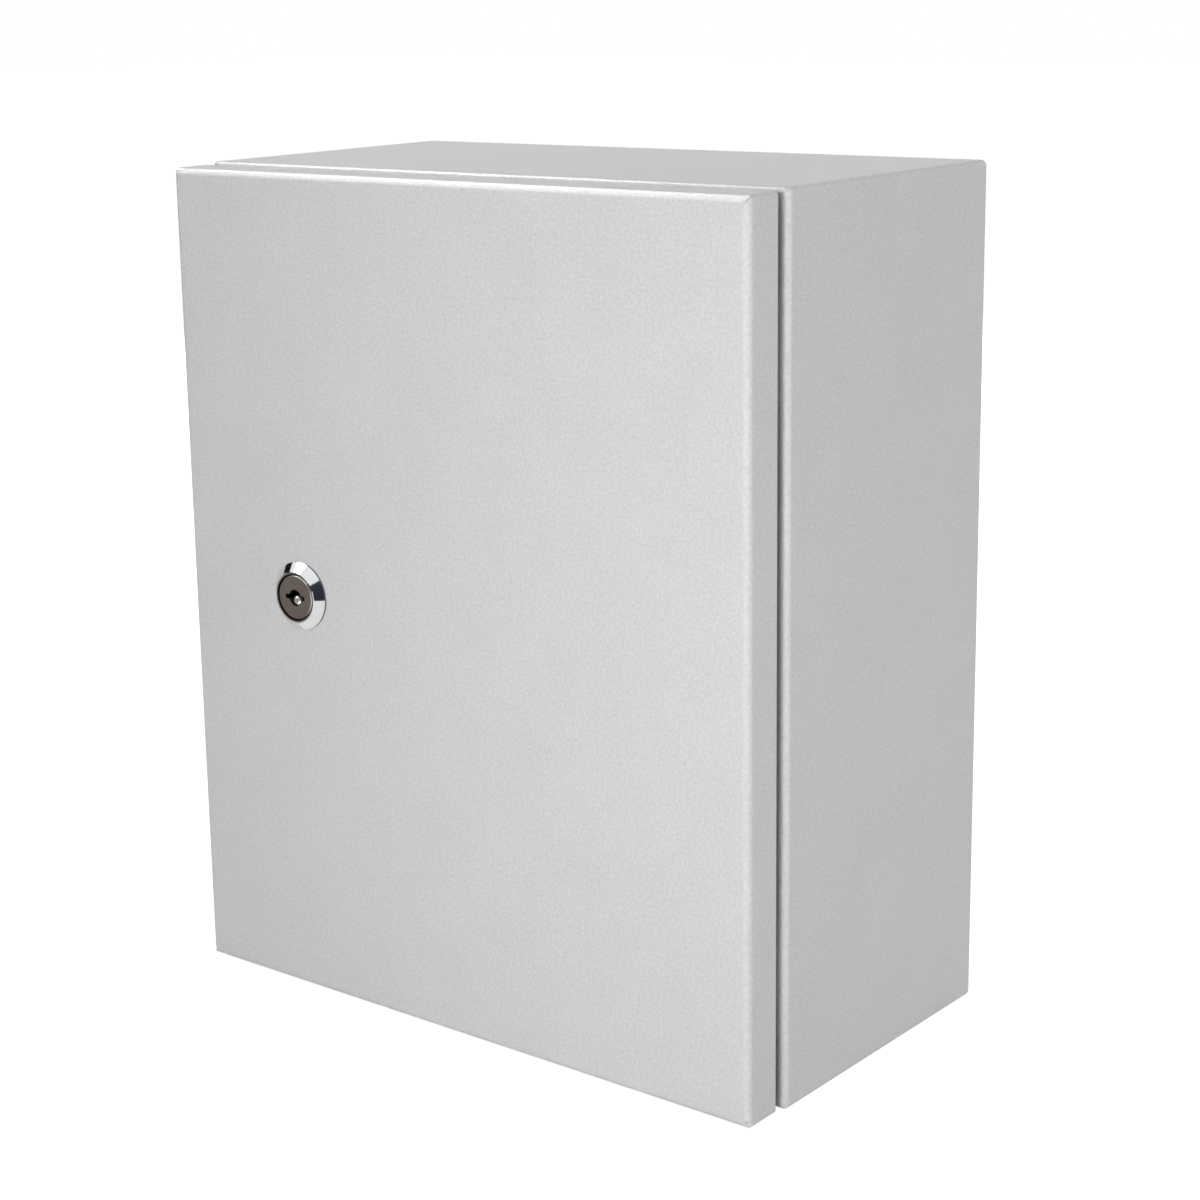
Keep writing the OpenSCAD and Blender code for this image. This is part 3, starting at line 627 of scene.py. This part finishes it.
def make_stud_tree():
    tree, given, out = piece_tree("threaded_stud", {
        "Radius": 3 * MM, "Pitch": 1 * MM, "Length": 16 * MM, "Flange": 0.8 * MM,
        "Turn": (0.0, 0.0, 0.0)})
    ridge = calc(tree, "MULTIPLY", given["Pitch"], 0.45)
    crest = calc(tree, "SUBTRACT", given["Radius"], CREST_INSIDE)
    root = calc(tree, "SUBTRACT", crest, ridge)
    tip = calc(tree, "MULTIPLY", given["Pitch"], 0.8)
    shank = calc(tree, "SUBTRACT", given["Length"], tip)

    def lifted(geometry, height):
        move = step(tree, "ShaderNodeCombineXYZ", {"Z": height})
        return step(tree, "GeometryNodeTransform", {"Geometry": geometry, "Translation": move})

    def rod(radius, length):
        mesh = step(tree, "GeometryNodeMeshCylinder",
                    {"Vertices": STUD_SIDES, "Radius": radius, "Depth": length})
        return lifted(mesh, calc(tree, "MULTIPLY", length, 0.5))

    def thread():
        wound = calc(tree, "SUBTRACT", shank,
                     calc(tree, "MULTIPLY_ADD", ridge, 2.0, given["Flange"]))
        spiral = step(tree, "GeometryNodeCurveSpiral", {
            "Resolution": 18, "Rotations": calc(tree, "DIVIDE", wound, given["Pitch"]),
            "Start Radius": root, "End Radius": root, "Height": wound})
        level = step(tree, "GeometryNodeSetCurveNormal", {"Curve": spiral}, mode="Z_UP")
        diamond = step(tree, "GeometryNodeCurvePrimitiveCircle",
                       {"Resolution": 4, "Radius": ridge})
        swept = step(tree, "GeometryNodeCurveToMesh",
                     {"Curve": level, "Profile Curve": diamond, "Fill Caps": True})
        return lifted(swept, calc(tree, "ADD", given["Flange"], ridge))

    foot_radius = calc(tree, "ADD", given["Radius"], FLANGE_EDGE)
    cone = step(tree, "GeometryNodeMeshCone", {
        "Vertices": STUD_SIDES, "Radius Bottom": root,
        "Radius Top": calc(tree, "SUBTRACT", root, tip), "Depth": tip})
    joined = add(tree, "GeometryNodeJoinGeometry")
    for part in (rod(root, shank), rod(foot_radius, given["Flange"]), lifted(cone, shank),
                 thread()):
        tree.links.new(part, joined.inputs[0])
    turn = step(tree, "FunctionNodeEulerToRotation", {0: given["Turn"]})
    studs = step(tree, "GeometryNodeInstanceOnPoints", {
        "Points": given["Geometry"], "Instance": joined.outputs[0], "Rotation": turn})
    close_tree(tree, studs, copper, out)
    return tree


stud_tree = make_stud_tree()
print("tree", stud_tree.name, "with", len(stud_tree.nodes), "nodes")

# %% [markdown]
# Each group of studs starts from the box of the plain studs in the construction: the box's
# corners, taken in by a stud's weld flange, are the places of the outer studs. So the
# threaded studs stand exactly where the plain ones are, and replace them. The gland plate
# is long, and has one more stud in the middle of each long edge.

# %% Plant the studs
def stud_feet(node, radius, axis, foot_high):
    """The corner places of studs that stand along an axis (0, 1 or 2), and their length."""
    low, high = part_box(node)
    inset = radius + FLANGE_EDGE
    spans = [(low[k] + inset, high[k] - inset) for k in range(3)]
    spans[axis] = (high[axis] if foot_high else low[axis],)
    feet = sorted({(round(x, 6), round(y, 6), round(z, 6))
                   for x in spans[0] for y in spans[1] for z in spans[2]})
    return feet, high[axis] - low[axis]


QUARTER = math.pi / 2
M6 = {"Radius": 3 * MM, "Pitch": 1.0 * MM, "Flange": 0.8 * MM}
M5 = {"Radius": 2.5 * MM, "Pitch": 0.8 * MM, "Flange": 0.8 * MM}
STUDS = [   # node, size, axis, whether the foot is at its high end, turn, body
    ("plate_studs", M6, 1, True, (QUARTER, 0.0, 0.0), "enclosure"),
    ("gland_studs", M5, 2, False, (0.0, 0.0, 0.0), "enclosure"),
    ("body_earth_stud", M6, 0, True, (0.0, -QUARTER, 0.0), "enclosure"),
    ("door_earth_stud", M6, 1, False, (-QUARTER, 0.0, 0.0), "door"),
]
for node, size, axis, foot_high, turn, body in STUDS:
    feet, length = stud_feet(node, size["Radius"], axis, foot_high)
    if node == "gland_studs":
        feet += [(0.0, y, z) for x, y, z in feet if x > 0]
    grow(node + "_threaded", feet, [], stud_tree, size | {"Length": length, "Turn": turn},
         body, "copper_coated_stud", [node])

# %% [markdown]
# The seal is foamed straight into the door by a nozzle that runs once round it. It rises
# to a soft crown, its skin is never quite even, and the lip of the body has pressed a
# groove along it. A simulation could press it, but the groove is the same all round, so a
# grooved profile is swept round a rounded rectangle, with a little noise.

# %% Foamed seal
SEAL_WIDTH = 10 * MM
GROOVE_WIDTH = 2.2 * MM
GROOVE_DEPTH = 1.5 * MM
ARC_STEPS = 8
LUMPS_PER_METRE = 70.0


def make_seal_tree():
    tree, given, out = piece_tree("foamed_seal", {
        "Width": 0.22, "Height": 0.27, "Corner": 6 * MM, "Depth": -0.138,
        "Unevenness": 0.2 * MM})
    frame_line = step(tree, "GeometryNodeCurvePrimitiveQuadrilateral",
                      {"Width": given["Width"], "Height": given["Height"]})
    rounded = step(tree, "GeometryNodeFilletCurve",
                   {"Curve": frame_line, "Radius": given["Corner"], "Count": 12}, mode="POLY")
    path = step(tree, "GeometryNodeResampleCurve",
                {"Curve": rounded, "Length": 1.5 * MM}, mode="LENGTH")
    level = step(tree, "GeometryNodeSetCurveNormal", {"Curve": path}, mode="Z_UP")
    profile = step(tree, "GeometryNodeMeshToCurve", {"Mesh": given["Geometry"]})
    bead = step(tree, "GeometryNodeCurveToMesh", {"Curve": level, "Profile Curve": profile})
    lumps = add(tree, "ShaderNodeTexNoise", {
        "Vector": step(tree, "GeometryNodeInputPosition"), "Scale": LUMPS_PER_METRE,
        "Detail": 1.0}).outputs["Fac"]
    push = calc(tree, "MULTIPLY", centred(tree, lumps), given["Unevenness"])
    offset = step(tree, "ShaderNodeVectorMath",
                  {0: step(tree, "GeometryNodeInputNormal"), "Scale": push}, operation="SCALE")
    uneven = step(tree, "GeometryNodeSetPosition", {"Geometry": bead, "Offset": offset})
    move = step(tree, "ShaderNodeCombineXYZ", {"Y": given["Depth"]})
    upright = step(tree, "GeometryNodeTransform", {
        "Geometry": uneven, "Translation": move, "Rotation": (QUARTER, 0.0, 0.0)})
    smooth = step(tree, "GeometryNodeSetShadeSmooth", {"Geometry": upright})
    close_tree(tree, smooth, foam, out)
    return tree


def seal_profile(height):
    """Half round on a straight foot, with a groove in its crown. y is the height."""
    r = SEAL_WIDTH / 2
    side = math.asin(GROOVE_WIDTH / 2 / r)
    arc = [QUARTER + side + (QUARTER - side) * k / ARC_STEPS for k in range(ARC_STEPS + 1)]
    left = [(r * math.cos(a), height - r + r * math.sin(a)) for a in arc]
    half = [(-GROOVE_WIDTH / 2 * 0.8, height - GROOVE_DEPTH)] + left + [(-r, 0)]
    return [(x, y, 0) for x, y in half + [(-x, y) for x, y in reversed(half)]]


seal_low, seal_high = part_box("door_seal")
outline = seal_profile(seal_high.y - seal_low.y)
ring = [(k, (k + 1) % len(outline)) for k in range(len(outline))]
seal = grow("seal_foamed", outline, ring, make_seal_tree(),
            {"Width": seal_high.x - seal_low.x - SEAL_WIDTH,
             "Height": seal_high.z - seal_low.z - SEAL_WIDTH,
             "Corner": 6.6 * MM, "Depth": seal_low.y, "Unevenness": 0.25 * MM},
            "door", "foamed_seal", ["door_seal"])
for label, pick, plain in (("low", min, seal_low), ("high", max, seal_high)):
    corner = [pick(v.co[k] for v in seal.data.vertices) for k in range(3)]
    print("seal's", label, "corner in mm:", in_mm(corner), "frame says", in_mm(plain))

# %% [markdown]
# Weld beads are rows of frozen ripples with rounded ends. Each could be sculpted, but they
# are all alike but for length and size. One tree makes them all: a round profile runs
# along an edge, and its radius swells and shrinks on the way.

# %% Weld beads
END_ROUNDNESS = 6.0         # the power that keeps the bead full until close to its ends
SMALLEST_END = 0.15


def make_bead_tree(finish):
    tree, given, out = piece_tree("weld_bead_" + finish.name,
                                  {"Radius": 1 * MM, "Ripple": 1.2 * MM, "Swell": 0.12})
    line = step(tree, "GeometryNodeMeshToCurve", {"Mesh": given["Geometry"]})
    path = step(tree, "GeometryNodeResampleCurve",
                {"Curve": line, "Length": 0.2 * MM}, mode="LENGTH")
    along = add(tree, "GeometryNodeSplineParameter").outputs
    from_middle = calc(tree, "ABSOLUTE", calc(tree, "MULTIPLY_ADD", along["Factor"], 2.0, -1.0))
    fall = calc(tree, "POWER", from_middle, END_ROUNDNESS)
    ends = calc(tree, "SQRT", calc(tree, "SUBTRACT", 1.0, fall), clamp=True)
    waves = calc(tree, "DIVIDE", along["Length"], given["Ripple"])
    phase = calc(tree, "MULTIPLY", waves, 2 * math.pi)
    ripples = calc(tree, "MULTIPLY_ADD", calc(tree, "SINE", phase), given["Swell"], 1.0)
    size = calc(tree, "MULTIPLY", calc(tree, "MAXIMUM", ends, SMALLEST_END), ripples)
    round_profile = step(tree, "GeometryNodeCurvePrimitiveCircle",
                         {"Resolution": 12, "Radius": given["Radius"]})
    bead = step(tree, "GeometryNodeCurveToMesh", {
        "Curve": path, "Profile Curve": round_profile, "Scale": size, "Fill Caps": True})
    smooth = step(tree, "GeometryNodeSetShadeSmooth", {"Geometry": bead})
    close_tree(tree, smooth, finish, out)
    return tree


def pairs(lines):
    """Points and edges for a list of (start, end) lines."""
    points = [p for line in lines for p in line]
    return points, [(k, k + 1) for k in range(0, len(points), 2)]


painted_bead = make_bead_tree(powder_coat)
zinc_bead = make_bead_tree(zinc)
print("trees", painted_bead.name, "and", zinc_bead.name)

# %% [markdown]
# The door is a pan with welded corners. Outside, the weld is ground flush, so the frame's
# own mesh shows it. Inside, nobody grinds it: a rippled bead fills each corner from the
# front sheet to the edge. A bead follows a line, so the tree above makes it.

# %% Welds of the door's corners
BEAD_INSET = 0.5 * MM
BEAD_END_BACK = 1.5 * MM
corner_x = door_high.x - SHEET - BEAD_INSET
corner_z = door_high.z - SHEET - BEAD_INSET
inside_lines = [((sx * corner_x, pan_floor, sz * corner_z),
                 (sx * corner_x, door_high.y - BEAD_END_BACK, sz * corner_z))
                for sx in (-1, 1) for sz in (-1, 1)]
grow("door_corner_welds", *pairs(inside_lines), painted_bead,
     {"Radius": 1.3 * MM, "Ripple": 1.3 * MM, "Swell": 0.10}, "door", "powder_coat")

# %% [markdown]
# The hinge brackets are welded to the rim along their upright, and each leaf is welded to
# the door's flange. Short beads above and below hold them. The same tree makes them, thinner
# and in zinc.

# %% Welds of the hinges
def bracket_edge(low, high):
    """The x of a bracket's welded edge, and the two ends of the bead in y."""
    return low.x + 0.2 * MM, high.y - 3.5 * MM, low.y + 4.5 * MM


def leaf_edge(low, high):
    return high.x - 0.2 * MM, low.y + 1.0 * MM, low.y + 7.0 * MM


def hinge_welds(name, node_names, body, welded_edge):
    lines = []
    for node_name in node_names:
        low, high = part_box(node_name)
        x, start, end = welded_edge(low, high)
        lines += [((x, start, z), (x, end, z)) for z in (low.z, high.z)]
    grow(name, *pairs(lines), zinc_bead,
         {"Radius": 0.55 * MM, "Ripple": 1.0 * MM, "Swell": 0.12}, body, "zinc_plate")


hinge_welds("bracket_welds", ["hinge_bracket_upper", "hinge_bracket_lower"], "enclosure",
            bracket_edge)
hinge_welds("leaf_welds", ["hinge_leaf_upper", "hinge_leaf_lower"], "door", leaf_edge)

# %% [markdown]
# A speck of dust under the powder leaves a nib in the finish. It could be a spot in the
# coat's bump, but a real dome also catches the light from the side. So each nib is a
# flattened ball, half sunk in the door. One near the door's lower corner is the largest,
# and a few others are so small that only a raking light shows them.

# %% Nibs in the paint
NIB_RADIUS = 0.7 * MM
NIB_PLACES = [(0.1114, -0.1167), (-0.1095, 0.1455), (0.062, 0.031), (-0.036, -0.083)]


def make_nib_tree():
    tree, given, out = piece_tree("paint_nibs", {"Radius": NIB_RADIUS, "Seed": 4})
    ball = step(tree, "GeometryNodeMeshUVSphere", {"Segments": 14, "Rings": 8, "Radius": 1.0})
    flat = step(tree, "GeometryNodeTransform", {"Geometry": ball, "Scale": (1.0, 0.85, 1.0)})
    smooth = step(tree, "GeometryNodeSetShadeSmooth", {"Geometry": flat})
    chance = add(tree, "FunctionNodeRandomValue", {"Seed": given["Seed"]}).outputs[1]
    number = step(tree, "GeometryNodeInputIndex")
    smaller = calc(tree, "MULTIPLY", calc(tree, "GREATER_THAN", number, 0.5),
                   calc(tree, "MULTIPLY_ADD", chance, 0.2, 0.5))
    size = calc(tree, "MULTIPLY", given["Radius"], calc(tree, "SUBTRACT", 1.0, smaller))
    nibs = step(tree, "GeometryNodeInstanceOnPoints",
                {"Points": given["Geometry"], "Instance": smooth, "Scale": size})
    close_tree(tree, nibs, powder_coat, out)
    return tree


grow("paint_nibs", [(x, door_face, z) for x, z in NIB_PLACES], [], make_nib_tree(),
     {"Radius": NIB_RADIUS, "Seed": 4}, "door", "powder_coat")

# %% [markdown]
# ## Floor, background and light
# The floor is a wide pale sheet. White behind the box could come from more light, but that
# would bleach the box too. So the floor's material adds its own light in mirrors, and a
# little more for the camera, until it reaches white. It still takes the box's shadow,
# because part of what the camera sees is a plain diffuse surface.

# %% What the eye and mirrors see, against what lights the box
def seen_directly(tree):
    """1 for camera, mirror and glass rays, 0 for the rays that carry light."""
    path = tree.nodes.new("ShaderNodeLightPath").outputs
    return calc(tree, "MAXIMUM", path["Is Camera Ray"],
                calc(tree, "MAXIMUM", path["Is Glossy Ray"], path["Is Transmission Ray"]))


def flat_sheet(name, corners, material):
    mesh = bpy.data.meshes.new(name)
    mesh.from_pydata([Vector(c) for c in corners], [], [(0, 1, 2, 3)])
    mesh.materials.append(material)
    sheet = bpy.data.objects.new(name, mesh)
    bpy.context.scene.collection.objects.link(sheet)
    return sheet


print("stage helpers ready")

# %% Floor
FLOOR_REACH = 8.0
FLOOR_BELOW = 0.02 * MM
MIRROR_LIFT = 0.58
EXTRA_LIFT_FOR_CAMERA = 0.28


def make_floor():
    material = bpy.data.materials.new("floor_white")
    material.use_nodes = True
    tree = material.node_tree
    tree.nodes.remove(tree.nodes["Principled BSDF"])
    pale = step(tree, "ShaderNodeBsdfDiffuse", {"Color": (0.50, 0.50, 0.50, 1)})
    to_camera = add(tree, "ShaderNodeLightPath").outputs["Is Camera Ray"]
    strength = calc(tree, "MULTIPLY_ADD", to_camera, EXTRA_LIFT_FOR_CAMERA, MIRROR_LIFT)
    lift = step(tree, "ShaderNodeEmission", {"Strength": strength})
    lifted = step(tree, "ShaderNodeAddShader", {0: pale, 1: lift})
    choose = step(tree, "ShaderNodeMixShader", {"Fac": seen_directly(tree), 1: pale, 2: lifted})
    tree.links.new(choose, tree.nodes["Material Output"].inputs["Surface"])
    r, z = FLOOR_REACH, body_low.z - FLOOR_BELOW
    return flat_sheet("floor", [(-r, -r, z), (r, -r, z), (r, r, z), (-r, r, z)], material)


floor = make_floor()
print("floor laid at z =", in_mm([floor.data.vertices[0].co.z])[0], "mm")

# %% [markdown]
# The world is white to the eye and to reflections, and a soft grey where it lights the box.
# If it lit the box as brightly as it looks, it would wash out every shadow.

# %% World
WORLD_LIGHT = 0.34


def make_world():
    world = bpy.data.worlds.new("studio")
    world.use_nodes = True
    bpy.context.scene.world = world
    tree = world.node_tree
    light = tree.nodes["Background"]
    light.inputs["Color"].default_value = (1, 1, 1, 1)
    light.inputs["Strength"].default_value = WORLD_LIGHT
    white = step(tree, "ShaderNodeBackground", {"Color": (1, 1, 1, 1), "Strength": 1.0})
    choose = step(tree, "ShaderNodeMixShader",
                  {"Fac": seen_directly(tree), 1: light.outputs[0], 2: white})
    tree.links.new(choose, tree.nodes["World Output"].inputs["Surface"])


make_world()
print("world lit at", WORLD_LIGHT)

# %% [markdown]
# Five soft lamps do the rest. The key lamp has a grid that narrows its beam, and it aims
# at the door's right side, so the door grows lighter towards its hinges. The room lamp
# fills the whole front, the side lamp the long right wall, the top lamp the top, and the
# back lamp the two walls behind. Two more are only reflections: they hang on the left,
# where the rounded top edges mirror them, and light nothing else.

# %% Lamps
LIGHTING = [    # name, place, aim, width, height, power, angle of the beam
    ("key_lamp", (0.45, -1.15, 0.04), (0.15, door_face, 0), 0.42, 0.50, 0.72, 50),
    ("room_lamp", (0.18, -1.60, 0.08), box_middle, 0.9, 0.9, 8.9, 180),
    ("side_lamp", (1.28, -0.15, 0.14), box_middle, 0.7, 0.7, 4.4, 180),
    ("top_lamp", (0.60, 0.50, 1.60), box_middle, 0.8, 0.8, 2.4, 180),
    ("back_lamp", (-1.05, 1.15, 0.35), box_middle, 1.0, 1.0, 16.0, 180),
]
REFLECTED = [
    ("edge_lamp", (-1.30, 0.00, 1.56), box_middle, 1.20, 0.30, 37.0, 180),
    ("bend_lamp", (-1.00, -0.95, 0.95), box_middle, 0.6, 0.6, 15.0, 180),
]


def soft_lamp(name, place, target, width, height, power, spread, mirrored):
    """A soft box. It either lights the object or shows in its reflections, never both."""
    data = bpy.data.lights.new(name, "AREA")
    data.shape = "RECTANGLE"
    data.size = width
    data.size_y = height
    data.energy = power
    data.spread = math.radians(spread)
    lamp = bpy.data.objects.new(name, data)
    lamp.location = place
    lamp.rotation_euler = (Vector(target) - Vector(place)).to_track_quat("-Z", "Y").to_euler()
    lamp.visible_glossy = mirrored
    lamp.visible_diffuse = not mirrored
    bpy.context.scene.collection.objects.link(lamp)


for lamp in LIGHTING:
    soft_lamp(*lamp, mirrored=False)
for lamp in REFLECTED:
    soft_lamp(*lamp, mirrored=True)
print(len(LIGHTING) + len(REFLECTED), "lamps hung")

# %% [markdown]
# Polished metal looks like metal only if it has something dark to mirror. A studio hangs
# black flags for it. These are cards that only reflections can see: a wide one on the left,
# one that stands for a window frame, and one in front.

# %% Black flags for the chrome
def flag(name, corners, colour):
    material = bpy.data.materials.new(name)
    material.use_nodes = True
    shader = material.node_tree.nodes["Principled BSDF"]
    shader.inputs["Base Color"].default_value = (*colour, 1)
    shader.inputs["Roughness"].default_value = 1.0
    shader.inputs["Specular IOR Level"].default_value = 0.0
    card = flat_sheet(name, corners, material)
    card.visible_camera = False
    card.visible_diffuse = False
    card.visible_shadow = False


def facing_lock(direction, distance, width, height):
    """Corners of a card that faces the lock from a direction."""
    lock = Vector((lock_x, door_face, lock_z))
    away = Vector(direction).normalized()
    across = away.cross(Vector((0, 0, 1))).normalized() * width / 2
    upward = across.cross(away).normalized() * height / 2
    middle = lock + away * distance
    return [middle - across - upward, middle + across - upward,
            middle + across + upward, middle - across + upward]


flag("flag_left", [(-1.07, -0.38, -0.149), (-1.07, 0.65, -0.149),
                   (-1.07, 0.65, 0.66), (-1.07, -0.38, 0.66)], (0.01, 0.01, 0.01))
flag("flag_window", facing_lock((0.50, -0.80, 0.25), 0.40, 0.13, 0.40), (0.05, 0.055, 0.075))
flag("flag_front", facing_lock((-0.69, -0.69, -0.20), 0.45, 0.22, 0.22), (0.10, 0.09, 0.08))
print("three flags hung")
